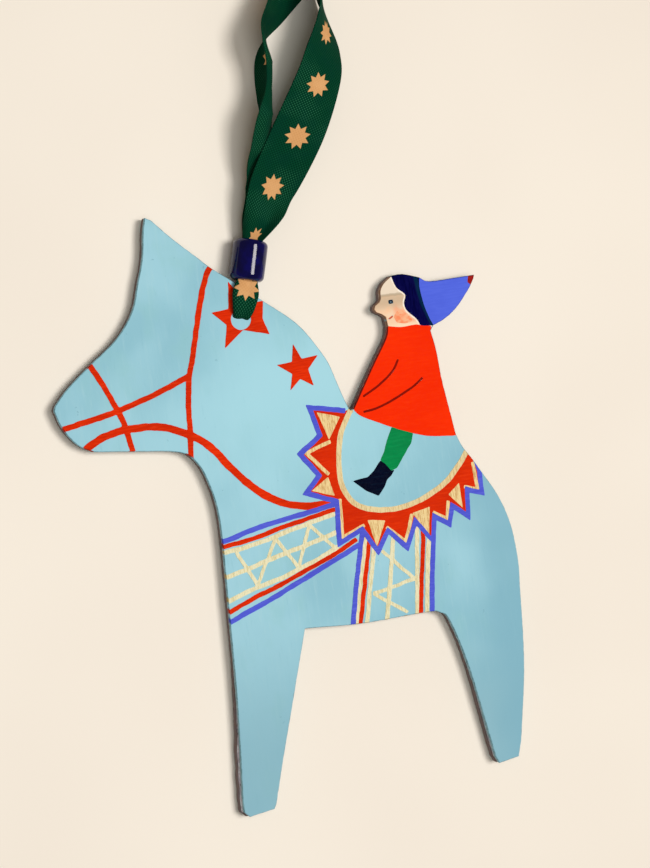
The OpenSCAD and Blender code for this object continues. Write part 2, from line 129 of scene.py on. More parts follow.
class Field:
    """A number or vector that varies over a surface, with arithmetic on it."""

    def __init__(self, tree, socket):
        self.tree, self.socket = tree, socket

    def maths(self, operation, *others, clamp=False):
        node = self.tree.nodes.new("ShaderNodeMath")
        node.operation, node.use_clamp = operation, clamp
        for slot, value in enumerate((self, *others)):
            plug(self.tree, value, node.inputs[slot])
        return Field(self.tree, node.outputs[0])

    def __add__(self, other): return self.maths("ADD", other)
    def __sub__(self, other): return self.maths("SUBTRACT", other)
    def __mul__(self, other): return self.maths("MULTIPLY", other)
    def __truediv__(self, other): return self.maths("DIVIDE", other)
    def sine(self): return self.maths("SINE")
    def cosine(self): return self.maths("COSINE")
    def absolute(self): return self.maths("ABSOLUTE")

    def ramp(self, low, high, to_low=0.0, to_high=1.0):
        """low..high of this field, smoothly turned into to_low..to_high."""
        node = self.tree.nodes.new("ShaderNodeMapRange")
        node.interpolation_type = "SMOOTHSTEP"
        plug(self.tree, self, node.inputs["Value"])
        for name, value in (("From Min", low), ("From Max", high), ("To Min", to_low), ("To Max", to_high)):
            node.inputs[name].default_value = value
        return Field(self.tree, node.outputs[0])


def plug(tree, value, socket):
    if isinstance(value, Field):
        tree.links.new(value.socket, socket)
    else:
        socket.default_value = value


def rgb(red, green, blue):
    """A screen colour, 0 to 255, as a shader colour."""
    def linear(c):
        c /= 255
        return c / 12.92 if c <= 0.04045 else ((c + 0.055) / 1.055) ** 2.4
    return (linear(red), linear(green), linear(blue), 1)


def mixed(tree, share, first, second):
    node = tree.nodes.new("ShaderNodeMix")
    node.data_type = "RGBA"
    plug(tree, share, node.inputs[0])
    plug(tree, first, node.inputs[6])
    plug(tree, second, node.inputs[7])
    return Field(tree, node.outputs[2])


def place(tree, stretch=(1, 1, 1), turn=0.0):
    """The surface point in millimetres, stretched and turned about Z."""
    source = tree.nodes.new("ShaderNodeTexCoord")
    node = tree.nodes.new("ShaderNodeMapping")
    node.inputs["Rotation"].default_value = (0, 0, turn)
    node.inputs["Scale"].default_value = [s / MM for s in stretch]
    tree.links.new(source.outputs["Object"], node.inputs["Vector"])
    return Field(tree, node.outputs[0])


def cloud(tree, where, scale, detail=3.0, roughness=0.55):
    node = tree.nodes.new("ShaderNodeTexNoise")
    plug(tree, where, node.inputs["Vector"])
    node.inputs["Scale"].default_value = scale
    node.inputs["Detail"].default_value = detail
    node.inputs["Roughness"].default_value = roughness
    return Field(tree, node.outputs[0])


def parts_of(tree, vector):
    node = tree.nodes.new("ShaderNodeSeparateXYZ")
    plug(tree, vector, node.inputs[0])
    return [Field(tree, output) for output in node.outputs]


def bumps(tree, height, distance, strength=1.0):
    node = tree.nodes.new("ShaderNodeBump")
    node.inputs["Strength"].default_value = strength
    node.inputs["Distance"].default_value = distance
    plug(tree, height, node.inputs["Height"])
    return Field(tree, node.outputs[0])


def new_material(name, roughness=0.5, gloss=0.015):
    material = bpy.data.materials.new(name)
    material.use_nodes = True
    shader = material.node_tree.nodes["Principled BSDF"]
    shader.inputs["Roughness"].default_value = roughness
    shader.inputs["Specular IOR Level"].default_value = gloss
    return material, material.node_tree, shader


# ---- Materials ----

CARD_BLUE = rgb(150, 202, 220)
RED = rgb(232, 48, 2)


def painted(name, colour, darker, lighter=None, streak_turn=0.0, streaks=0.5, blotches=0.5,
            roughness=0.5, grain=0.35):
    """Hand-brushed paint: soft blotches, fine brush streaks along one direction and a faint grain."""
    material, tree, shader = new_material(name)
    broad = cloud(tree, place(tree), 0.09, 3)
    fine = cloud(tree, place(tree, (0.35, 3.2, 1), streak_turn), 1.0, 4)
    speck = cloud(tree, place(tree), 3.4, 2)
    tone = mixed(tree, broad.ramp(0.35, 0.68, 0.0, blotches), colour, darker)
    tone = mixed(tree, fine.ramp(0.42, 0.75, 0.0, streaks), tone, darker)
    if lighter:
        tone = mixed(tree, fine.ramp(0.5, 0.22, 0.0, streaks), tone, lighter)
    plug(tree, tone, shader.inputs["Base Color"])
    plug(tree, speck.ramp(0.3, 0.7, roughness - 0.08, roughness + 0.12), shader.inputs["Roughness"])
    relief = fine * 0.7 + speck * grain
    plug(tree, bumps(tree, relief, 0.01 * MM, 0.3), shader.inputs["Normal"])
    return material


def card_face_paint():
    """The horse's light blue: cloudy, a little greener in places, with faint long brush marks, lighter towards
    the middle of the body as a painted pool of light and darker on the lower legs and the rump as painted shade.
    """
    material, tree, shader = new_material("light_blue_face")
    broad = cloud(tree, place(tree), 0.045, 2)
    patch = cloud(tree, place(tree, (0.8, 0.5, 1), 0.4), 0.16, 3)
    brushed = cloud(tree, place(tree, (1.6, 0.16, 1), 0.12), 1.0, 4)
    speck = cloud(tree, place(tree), 2.6, 3)
    flaw = cloud(tree, place(tree), 0.75, 2)
    tone = mixed(tree, broad.ramp(0.38, 0.64), rgb(162, 214, 232), rgb(146, 200, 219))
    tone = mixed(tree, patch.ramp(0.5, 0.72, 0.0, 0.45), tone, rgb(150, 205, 214))
    tone = mixed(tree, brushed.ramp(0.5, 0.8, 0.0, 0.3), tone, rgb(176, 220, 232))
    tone = mixed(tree, brushed.ramp(0.42, 0.2, 0.0, 0.25), tone, rgb(128, 184, 202))
    tone = mixed(tree, flaw.ramp(0.73, 0.78, 0.0, 0.4), tone, rgb(108, 158, 178))
    across, along, _ = parts_of(tree, place(tree))
    drift = (broad - 0.5) * 30
    # Distance from the middle of the body, where the blue is made lighter: a painted pool of light.
    far_x, far_y = (across - 6) / 34, (along + 4) / 26
    far = (far_x * far_x + far_y * far_y).maths("SQRT") + (patch - 0.5) * 0.5
    tone = mixed(tree, far.ramp(1.2, 0.2, 0.0, 0.8), tone, rgb(172, 226, 242))
    # Darker blue on the lower legs and towards the rump: painted shade where the light falls off.
    tone = mixed(tree, (along + drift).ramp(-48, -80, 0.0, 0.75), tone, rgb(136, 184, 202))
    tone = mixed(tree, (across + drift * 0.3).ramp(34, 46, 0.0, 0.7), tone, rgb(130, 184, 206))
    plug(tree, tone, shader.inputs["Base Color"])
    plug(tree, speck.ramp(0.3, 0.7, 0.5, 0.7), shader.inputs["Roughness"])
    relief = brushed * 0.8 + speck * 0.35 + patch * 0.8
    plug(tree, bumps(tree, relief, 0.02 * MM, 0.4), shader.inputs["Normal"])
    return material


def cut_edge(name, core, from_z, full_z, dark_patch_share, soak):
    """A cut card edge: paint that ran over the rim fades into bare pulp, in ragged dark fibres, and the paint on
    the rim is darkened towards dark teal as painted shade.
    """
    material, tree, shader = new_material(name)
    tint = tree.nodes.new("ShaderNodeAttribute")
    tint.attribute_name = "paint_tint"
    paint = Field(tree, tint.outputs["Color"])
    height = parts_of(tree, place(tree))[2]
    ragged = cloud(tree, place(tree, (1, 1, 0.6)), 1.1, 4, 0.7)
    fibres = cloud(tree, place(tree, (0.5, 0.5, 3)), 1.6, 4, 0.7)
    covered = (height + ragged * 1.5 - 0.75).ramp(from_z, full_z)
    bare = mixed(tree, fibres.ramp(0.35, 0.65), core, rgb(120, 112, 118))
    bare = mixed(tree, ragged.ramp(0.2, 0.7, soak * 0.4, soak), bare, paint)
    # The paint on the rim darkened towards dark teal: painted shade of the cut edge.
    shade = mixed(tree, ragged.ramp(0, 1, 0.6, 0.64), paint, rgb(14, 62, 66))
    rim = mixed(tree, ragged.ramp(0.35, 0.7, 0.1, 0.75), paint, shade)
    tone = mixed(tree, covered, bare, rim)
    # The edge darkened towards near-black in ragged patches of fibre.
    tone = mixed(tree, fibres.ramp(0.55, 0.8, 0.0, dark_patch_share), tone, rgb(38, 40, 42))
    plug(tree, tone, shader.inputs["Base Color"])
    plug(tree, fibres.ramp(0.3, 0.7, 0.6, 0.9), shader.inputs["Roughness"])
    plug(tree, bumps(tree, fibres + ragged, 0.12 * MM, 0.8), shader.inputs["Normal"])
    return material


def gold_marker(name, base, deep, show_through, turn=0.0):
    """Pale gold paint pen: close hatching strokes, with the ground showing between them."""
    material, tree, shader = new_material(name)
    hatch = cloud(tree, place(tree, (3.8, 0.55, 1), turn), 1.0, 3, 0.65)
    flake = cloud(tree, place(tree), 4.5, 3, 0.7)
    tone = mixed(tree, hatch.ramp(0.42, 0.66, 0.0, 0.85), base, deep)
    tone = mixed(tree, flake.ramp(0.56, 0.7, 0.0, 0.8), tone, rgb(250, 236, 190))
    tone = mixed(tree, flake.ramp(0.45, 0.32, 0.0, show_through), tone, rgb(160, 196, 196))
    plug(tree, tone, shader.inputs["Base Color"])
    plug(tree, flake.ramp(0.3, 0.7, 0.34, 0.6), shader.inputs["Roughness"])
    plug(tree, bumps(tree, hatch + flake, 0.015 * MM, 0.6), shader.inputs["Normal"])
    return material


def skin_paint():
    """Face: cream at the forehead, a thin grey brow line, a greyer eye socket and a warm cheek and chin."""
    material, tree, shader = new_material("skin", 0.5)
    low, high = (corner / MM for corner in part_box("face_paint"))
    across, along, _ = parts_of(tree, place(tree))
    wash = cloud(tree, place(tree), 0.8, 3)
    drift = (wash - 0.5) * 1.2
    brow_y, eye_y, chin_y = high.y - 4.1, high.y - 5.4, low.y + 0.5
    forehead = (along + drift * 0.3).ramp(brow_y - 0.3, brow_y + 0.3)
    brow = (along - brow_y + drift * 0.5).absolute().ramp(0.5, 0.1, 0.0, 0.6)
    socket = (along - eye_y + drift).absolute().ramp(2.6, 0.3, 0.0, 0.85)
    cheek_line = across * 0.7 + along * 0.72
    cheek_middle = (low.x + 6.9) * 0.7 + (low.y + 2.9) * 0.72
    blush = (cheek_line - cheek_middle + drift * 1.5).absolute().ramp(1.5, 0.2, 0.0, 0.6)
    tone = mixed(tree, wash.ramp(0.3, 0.7), rgb(252, 208, 170), rgb(248, 220, 190))
    tone = mixed(tree, blush * across.ramp(low.x + 3.8, low.x + 5.2), tone, rgb(252, 160, 118))
    tone = mixed(tree, socket, tone, rgb(206, 184, 156))
    tone = mixed(tree, (along + drift * 0.5).ramp(chin_y + 1.6, chin_y + 0.5), tone, rgb(252, 228, 196))
    tone = mixed(tree, forehead, tone, rgb(240, 226, 206))
    tone = mixed(tree, brow, tone, rgb(168, 154, 128))
    plug(tree, tone, shader.inputs["Base Color"])
    plug(tree, wash.ramp(0.3, 0.7, 0.5, 0.7), shader.inputs["Roughness"])
    plug(tree, bumps(tree, wash, 0.02 * MM, 0.3), shader.inputs["Normal"])
    return material


def cheek_blush():
    material, tree, shader = new_material("cheek_blush", 0.6)
    wash = cloud(tree, place(tree, (1, 1.8, 1), 0.8), 0.9, 4)
    tone = mixed(tree, wash.ramp(0.36, 0.62), rgb(252, 148, 104), rgb(252, 190, 148))
    plug(tree, tone, shader.inputs["Base Color"])
    plug(tree, wash.ramp(0.3, 0.7, 0.5, 0.7), shader.inputs["Roughness"])
    plug(tree, bumps(tree, wash, 0.02 * MM, 0.3), shader.inputs["Normal"])
    return material


def hair_navy():
    """Near-black blue, with a lighter teal stroke where the brush followed the brim of the hat."""
    material, tree, shader = new_material("hair_navy", 0.5)
    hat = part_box("hat_paint")[0] / MM
    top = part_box("hair_paint")[1].y / MM
    across, along, _ = parts_of(tree, place(tree))
    strands = cloud(tree, place(tree, (3.0, 0.5, 1), 0.2), 1.0, 3)
    drop = along * -1 + top
    brim = drop * drop * 0.0175 + (hat.x - 0.2)
    stroke = (across - brim + 0.5 + strands * 0.8 - 0.4).absolute().ramp(0.75, 0.2, 0.0, 0.75)
    speck = cloud(tree, place(tree), 0.9, 2)
    tone = mixed(tree, strands.ramp(0.4, 0.7), rgb(0, 0, 70), rgb(0, 0, 50))
    tone = mixed(tree, speck.ramp(0.66, 0.74, 0.0, 0.6), tone, rgb(10, 40, 92))
    tone = mixed(tree, stroke, tone, rgb(0, 44, 74))
    plug(tree, tone, shader.inputs["Base Color"])
    plug(tree, strands.ramp(0.3, 0.7, 0.45, 0.65), shader.inputs["Roughness"])
    plug(tree, bumps(tree, strands, 0.015 * MM, 0.3), shader.inputs["Normal"])
    return material


def feature_ink():
    """The eye in dark blue with a grey glint, and the mouth in red-brown."""
    material, tree, shader = new_material("feature_ink", 0.5)
    low, high = (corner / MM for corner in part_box("eye_and_mouth_paint"))
    across, along, _ = parts_of(tree, place(tree))
    eye_x, eye_y = across - (high.x - 0.55), along - (high.y - 0.5)
    glint = (eye_x * eye_x + eye_y * eye_y).maths("SQRT").ramp(0.28, 0.1, 0.0, 0.75)
    grain = cloud(tree, place(tree), 3.0, 2)
    eye = mixed(tree, grain.ramp(0.4, 0.6), rgb(6, 26, 46), rgb(20, 44, 66))
    eye = mixed(tree, glint, eye, rgb(112, 140, 158))
    tone = mixed(tree, along.ramp((low.y + high.y) / 2 - 0.1, (low.y + high.y) / 2 + 0.1), rgb(206, 88, 56), eye)
    plug(tree, tone, shader.inputs["Base Color"])
    plug(tree, grain.ramp(0.3, 0.7, 0.5, 0.7), shader.inputs["Roughness"])
    return material


def gesso():
    """The bare cream primer that shows as a thin line where two coats of paint don't meet."""
    material, tree, shader = new_material("gesso", 0.7)
    patch = cloud(tree, place(tree), 1.4, 3)
    plug(tree, mixed(tree, patch.ramp(0.35, 0.65), rgb(255, 250, 240), rgb(250, 232, 212)),
         shader.inputs["Base Color"])
    plug(tree, bumps(tree, patch, 0.02 * MM, 0.3), shader.inputs["Normal"])
    return material


def raw_card():
    """Unpainted card seen where the back ply sticks out: grey-pink pulp with pale and dark fibres."""
    material, tree, shader = new_material("raw_card", 0.85)
    fibres = cloud(tree, place(tree, (1.6, 0.45, 1)), 1.3, 4, 0.7)
    torn = cloud(tree, place(tree, (1.2, 0.5, 1)), 0.8, 4, 0.75)
    tone = mixed(tree, fibres.ramp(0.35, 0.65), rgb(240, 226, 234), rgb(204, 190, 200))
    tone = mixed(tree, torn.ramp(0.53, 0.6), tone, rgb(255, 253, 254))
    tone = mixed(tree, torn.ramp(0.42, 0.35), tone, rgb(58, 58, 64))
    plug(tree, tone, shader.inputs["Base Color"])
    plug(tree, bumps(tree, fibres + torn, 0.15 * MM, 0.8), shader.inputs["Normal"])
    return material


def woven(name, printed):
    """Green ribbon weave from the cloth's own coordinates, with a row of printed stars on its face, darker where
    the weave dips as painted shade and light green on the thread tops in patches as painted sheen.
    """
    material, tree, shader = new_material(name, 0.8, 0.04)
    cloth = tree.nodes.new("ShaderNodeUVMap")
    across, along, _ = parts_of(tree, Field(tree, cloth.outputs[0]))
    across, along = across / MM, along / MM
    turns = math.pi / WEAVE_PITCH
    warp, weft = (across * turns).sine(), (along * turns).sine()
    thread = warp * weft
    knots = thread.ramp(0.35, 0.85)
    slub = cloud(tree, place(tree), 0.35, 3)
    lit = cloud(tree, place(tree), 0.12, 2)
    # Darker where the weave dips: painted shade.
    green = mixed(tree, thread.ramp(-0.8, 0.2), rgb(0, 42, 26), rgb(0, 62, 40))
    green = mixed(tree, slub.ramp(0.35, 0.7, 0.0, 0.6), green, rgb(0, 54, 40))
    # Light green on the thread tops in patches: painted sheen of the weave.
    green = mixed(tree, knots * lit.ramp(0.4, 0.64, 0.05, 0.5), green, rgb(64, 140, 100))
    height = thread
    if printed:
        cell = (along / STAR_PITCH).maths("FRACT") - 0.5
        star_y, star_x = cell * STAR_PITCH, across - RIBBON_WIDTH / 2
        radius = (star_x * star_x + star_y * star_y).maths("SQRT")
        sector = math.pi / STAR_POINTS
        angle = star_x.maths("ARCTAN2", star_y * -1) / (2 * sector)
        fold = (angle - angle.maths("ROUND")).absolute() * (2 * sector)
        tip, waist = STAR_RADIUS, STAR_RADIUS * STAR_WAIST
        reach = tip * waist * math.sin(sector)
        slope = fold.cosine() * (waist * math.sin(sector)) + fold.sine() * (tip - waist * math.cos(sector))
        fray = cloud(tree, place(tree), 2.2, 2) * 0.5 - 0.25
        inside = (radius * slope * (1 / reach) * -1 + 1 + fray * 0.06).ramp(-0.02, 0.03)
        worn = (thread * 0.5 + 0.5) * 0.35
        copper = mixed(tree, worn, rgb(222, 168, 112), rgb(184, 130, 78))
        copper = mixed(tree, slub.ramp(0.4, 0.7, 0.0, 0.35), copper, rgb(232, 184, 130))
        green = mixed(tree, inside, green, copper)
    plug(tree, green, shader.inputs["Base Color"])
    plug(tree, bumps(tree, height, 0.04 * MM, 0.5), shader.inputs["Normal"])
    return material


def glazed():
    """Deep blue glass-like bead."""
    material, tree, shader = new_material("navy_glaze", 0.06, 0.2)
    depth = cloud(tree, place(tree), 0.3, 2)
    plug(tree, mixed(tree, depth.ramp(0.35, 0.65), rgb(0, 0, 58), rgb(2, 2, 84)), shader.inputs["Base Color"])
    plug(tree, depth.ramp(0.3, 0.7, 0.05, 0.11), shader.inputs["Roughness"])
    shader.inputs["Coat Weight"].default_value = 0.25
    shader.inputs["Coat Roughness"].default_value = 0.03
    return material


def glue_with_seam_shade():
    # Dark brown glue in the recessed seam between the plies: its own colour, darkened as painted shade of the
    # seam.
    material, tree, shader = new_material("glue_with_seam_shade", 0.5)
    lumps = cloud(tree, place(tree), 1.2, 3)
    plug(tree, mixed(tree, lumps.ramp(0.35, 0.65), rgb(46, 40, 36), rgb(92, 82, 70)), shader.inputs["Base Color"])
    plug(tree, bumps(tree, lumps, 0.1 * MM), shader.inputs["Normal"])
    return material


def paper_table():
    material, tree, shader = new_material("pale_table", 0.8)
    wash = cloud(tree, place(tree), 0.01, 2)
    grain = cloud(tree, place(tree), 0.6, 3)
    plug(tree, mixed(tree, wash.ramp(0.3, 0.7), rgb(250, 245, 235), rgb(246, 240, 230)),
         shader.inputs["Base Color"])
    plug(tree, bumps(tree, grain, 0.02 * MM, 0.3), shader.inputs["Normal"])
    return material


# ---- Shapes from the frame ----

def top_loops(node):
    """The closed outlines of a CAD node's upper face, in millimetres, each a list of 2D points."""
    mesh = bmesh.new()
    mesh.from_mesh(frame["nodes"][node].data)
    bmesh.ops.remove_doubles(mesh, verts=mesh.verts, dist=1e-7)
    top = max(v.co.z for v in mesh.verts) - 1e-6
    faces = {f for f in mesh.faces if all(v.co.z > top for v in f.verts)}
    follows = {}
    for face in faces:
        for loop in face.loops:
            others = [f for f in loop.edge.link_faces if f in faces and f is not face]
            if not others:
                follows.setdefault(loop.vert.index, []).append(loop.link_loop_next.vert.index)
    mesh.verts.ensure_lookup_table()
    spots = {i: mesh.verts[i].co.xy / MM for i in follows}
    loops = []
    while follows:
        first = here = next(iter(follows))
        walk = []
        while here in follows:
            walk.append(spots[here])
            nexts = follows[here]
            after = nexts.pop()
            if not nexts:
                del follows[here]
            here = after
            if here == first:
                break
        if len(walk) > 2:
            loops.append(walk)
    mesh.free()
    return loops


def resampled(loop, step):
    points = []
    for here, there in zip(loop, loop[1:] + loop[:1]):
        pieces = max(1, round((there - here).length / step))
        points += [here.lerp(there, k / pieces) for k in range(pieces)]
    return points


def wavering(point, amount, scale):
    """The point moved by a slow, repeatable drift, as a hand's line drifts."""
    drift = noise.noise_vector(Vector((point.x * scale, point.y * scale, 3.7)))
    return point + Vector((drift.x, drift.y)) * amount


def softened(loop, passes):
    for _ in range(passes):
        loop = [(loop[i - 1] + here * 2 + loop[(i + 1) % len(loop)]) / 4 for i, here in enumerate(loop)]
    return loop


def inward(loop):
    """Unit steps into the material at each point of a loop whose material lies to its left."""
    steps = []
    for i in range(len(loop)):
        run = (loop[(i + 1) % len(loop)] - loop[i - 1]).normalized()
        steps.append(Vector((-run.y, run.x)))
    return steps


def new_piece(name, vertices, faces, materials, face_materials=None, scale=MM):
    mesh = bpy.data.meshes.new(name)
    mesh.from_pydata([Vector(v) * scale for v in vertices], [], faces)
    for material in materials:
        mesh.materials.append(material)
    if face_materials:
        mesh.polygons.foreach_set("material_index", face_materials)
    piece = bpy.data.objects.new(name, mesh)
    bpy.context.scene.collection.objects.link(piece)
    return piece


def settled(piece, smooth_angle=None):
    """The piece with its modifiers applied, as plain mesh."""
    graph = bpy.context.evaluated_depsgraph_get()
    mesh = bpy.data.meshes.new_from_object(piece.evaluated_get(graph))
    name, old = piece.name, piece.data
    piece.modifiers.clear()
    piece.data = mesh
    mesh.name = name
    bpy.data.meshes.remove(old)
    if smooth_angle is not None:
        mesh.shade_smooth()
        mesh.set_sharp_from_angle(angle=math.radians(smooth_angle))
    return piece


# ---- Card plies ----

BOARD_LOOPS = [resampled(loop, OUTLINE_STEP) for loop in top_loops("front_ply")]
BOARD_EDGE = [(point, step) for loop in BOARD_LOOPS for point, step in zip(loop, inward(loop))]
BOARD_TREE = kdtree.KDTree(len(BOARD_EDGE))
for number, (point, _) in enumerate(BOARD_EDGE):
    BOARD_TREE.insert((point.x, point.y, 0), number)
BOARD_TREE.balance()


def paint_under(point, colours):
    """The tint of the film that covers a point of the face, or the card's own blue."""
    start = Vector((point.x, point.y, FACE_Z + 5)) * MM
    for node, tint in colours.items():
        if frame["nodes"][node].ray_cast(start, Vector((0, 0, -1)))[0]:
            return tint
    return CARD_BLUE


def edge_rings(bottom, top, rim_low, rim_high, seed):
    """Height and inset of each ring round a ply's cut edge, as functions of the place along it."""
    def rough(point, z):
        spot = Vector((point.x * 0.8, point.y * 0.8, z * 1.1 + seed))
        return CUT_ROUGHNESS * (noise.noise(spot) + 0.6 * noise.noise(spot * 3.1))

    def rim(point, size):
        return size * (0.35 + 1.1 * abs(noise.noise(Vector((point.x * 0.7, point.y * 0.7, seed + size)))))

    levels = []
    for share in (1, 0.55, 0.2, 0):
        levels.append(("low", share))
    for share in (0.33, 0.66):
        levels.append(("mid", share))
    for share in (0, 0.2, 0.55, 1):
        levels.append(("high", share))

    def ring(kind, share, point):
        if kind == "mid":
            z = bottom + (top - bottom) * share
            return z, max(0, rough(point, z))
        size = rim(point, rim_low if kind == "low" else rim_high)
        if kind == "high":
            size = rim_high
        fall = size * share
        z = bottom + size - fall if kind == "low" else top - size + fall
        inset = size * (1 - math.sqrt(max(0, 1 - share * share)))
        worn = rough(point, z) * (1 - share) if kind == "high" else rough(point, z)
        return z, max(0, inset + worn)
    return levels, ring


def overhang(point, step):
    """How far the back ply sticks out past the front one: up to 0.8 mm on the left of each lower leg."""
    left_facing = max(0, step.x) ** 2
    front_leg = max(0, min(1, (-56 - point.y) / 22)) if point.x < -12 else 0
    hind_leg = max(0, min(1, (-62 - point.y) / 20)) if point.x > 20 else 0
    torn = 0.8 + 0.35 * noise.noise(Vector((point.x * 0.3, point.y * 0.3, 8.2)))
    return left_facing * torn * (0.8 * front_leg + 0.45 * hind_leg)


def card_ply(name, node, materials, rim_low, rim_high, seed, colours, sticks_out=False):
    """One ply of card, with a hand-cut edge, rounded rims and paint that ran over onto the edge.
    The materials are those of its back, its front and its cut edge."""
    low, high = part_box(node)
    bottom, top = low.z / MM, high.z / MM
    levels, ring = edge_rings(bottom, top, rim_low, rim_high, seed)
    vertices, faces, kinds, tints = [], [], [], []
    caps = {0: [], len(levels) - 1: []}
    for loop in BOARD_LOOPS:
        steps, count = inward(loop), len(loop)
        here = [paint_under(p + s * 0.7, colours) for p, s in zip(loop, steps)]
        base = len(vertices)
        for kind, share in levels:
            for point, step in zip(loop, steps):
                z, inset = ring(kind, share, point)
                spot = point + step * (inset - (overhang(point, step) if sticks_out else 0))
                vertices.append((spot.x, spot.y, z))
        for k in range(len(levels) - 1):
            for i in range(count):
                j = (i + 1) % count
                faces.append((base + k * count + i, base + k * count + j,
                              base + (k + 1) * count + j, base + (k + 1) * count + i))
                kinds.append(2)
                tints.append((here[i], here[j], here[j], here[i]))
        for k in caps:
            caps[k].append([base + k * count + i for i in range(count)])
    for k, rings in caps.items():
        for triangle in filled(vertices, rings, upward=k > 0):
            faces.append(triangle)
            kinds.append(1 if k else 0)
            tints.append((CARD_BLUE,) * 3)
    piece = new_piece(name, vertices, faces, materials, kinds)
    layer = piece.data.color_attributes.new("paint_tint", "FLOAT_COLOR", "CORNER")
    flat = [value for face in tints for tint in face for value in tint]
    layer.data.foreach_set("color", flat)
    piece.data.polygons.foreach_set("use_smooth", [kind == 2 for kind in kinds])
    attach(piece, "board")
    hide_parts(node)
    return piece


def filled(vertices, rings, upward):
    """Triangles over the area between rings of vertices, the first ring being the outer one."""
    flat = [Vector(vertices[i][:2]) for ring in rings for i in ring]
    order = [i for ring in rings for i in ring]
    edges, start = [], 0
    for ring in rings:
        edges += [(start + i, start + (i + 1) % len(ring)) for i in range(len(ring))]
        start += len(ring)
    spots, _, areas, sources = geometry.delaunay_2d_cdt(flat, edges, [], 4, 1e-5)[:4]
    level = vertices[order[0]][2]
    for spot, source in zip(spots, sources):
        if not source:
            source.append(len(order))
            order.append(len(vertices))
            vertices.append((spot.x, spot.y, level))
    triangles = []
    for area in areas:
        corners = [order[sources[i][0]] for i in area]
        a, b, c = (Vector(vertices[i][:2]) for i in corners[:3])
        if ((b - a).cross(c - a) > 0) != upward:
            corners.reverse()
        triangles.append(tuple(corners))
    return triangles


# ---- Paint films ----

def clear_of_edge(point, margin):
    """Keeps a film's edge on the flat of the card, off its rounded rim."""
    _, number, _ = BOARD_TREE.find((point.x, point.y, 0))
    edge, step = BOARD_EDGE[number]
    depth = (point - edge).dot(step)
    return point + step * (margin - depth) if depth < margin else point


def coat(name, node, material, height, waver=0.09, grow=0.0, rounding=2, margin=EDGE_ROUND - 0.01):
    """A brushed coat of paint with the outline of a CAD film, drawn by hand and grown a little if asked."""
    bottom = FACE_Z - 0.005
    shape = bmesh.new()
    for loop in top_loops(node):
        points = [wavering(p, waver, 0.45) for p in resampled(loop, FILM_STEP)]
        points = [wavering(p, waver * 0.5, 1.9) for p in points]
        points = [p - step * grow for p, step in zip(points, inward(points))]
        points = [clear_of_edge(p, margin) for p in softened(points, rounding)]
        low_ring, high_ring = ([shape.verts.new(Vector((p.x, p.y, z)) * MM) for p in points]
                               for z in (bottom, bottom + height))
        for i in range(len(points)):
            j = (i + 1) % len(points)
            shape.faces.new((low_ring[i], low_ring[j], high_ring[j], high_ring[i]))
    middle = (bottom + height / 2) * MM
    for side in (-1, 1):
        rim = [e for e in shape.edges if all((v.co.z - middle) * side > 0 for v in e.verts)]
        bmesh.ops.triangle_fill(shape, use_beauty=True, use_dissolve=False, edges=rim)
    bmesh.ops.recalc_face_normals(shape, faces=shape.faces)
    piece = new_piece(name, [], [], [material])
    shape.to_mesh(piece.data)
    shape.free()
    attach(piece, "board")
    return piece


def film(name, material, height=0.08, waver=0.09, grow=0.0, rounding=2):
    """The coat of paint that stands for the CAD film of the same name."""
    piece = coat(name + "_film", name, material, height, waver, grow, rounding)
    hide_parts(name)
    return piece


# The paint of each film where it ran over onto the cut edge: real paint, given darker colours than the films
# themselves as painted shade on the edge.
EDGE_TINTS = {
    "coat_paint": rgb(150, 30, 8), "hair_paint": rgb(2, 2, 50), "hat_paint": rgb(60, 76, 190),
    "hat_tip_paint": rgb(110, 20, 14), "face_paint": rgb(170, 130, 105), "bridle_paint": rgb(190, 40, 8),
    "breast_band_blue": rgb(70, 84, 200), "breast_band_red": rgb(190, 40, 8),
    "breast_band_gold": rgb(190, 170, 110), "girth_blue": rgb(70, 84, 200),
    "girth_red": rgb(190, 40, 8), "girth_gold": rgb(190, 170, 110),
    "saddle_red_paint": rgb(190, 40, 8), "saddle_gold_line": rgb(190, 170, 110),
}


def make_board():
    face = card_face_paint()
    back_edge = cut_edge("back_card_edge", rgb(132, 112, 106), 9, 10, 0.75, 0)
    front_edge = cut_edge("front_card_edge", rgb(214, 212, 206), 2.5, 3.1, 0.8, 0.75)
    card_ply("back_card", "back_ply", [face, raw_card(), back_edge], 0.16, SEAM_ROUND, 11.3, {}, True)
    card_ply("front_card", "front_ply", [face, face, front_edge], SEAM_ROUND, EDGE_ROUND, 4.1, EDGE_TINTS)
    glue = frame["nodes"]["glue_film"]
    glue.data.materials.clear()
    glue.data.materials.append(glue_with_seam_shade())


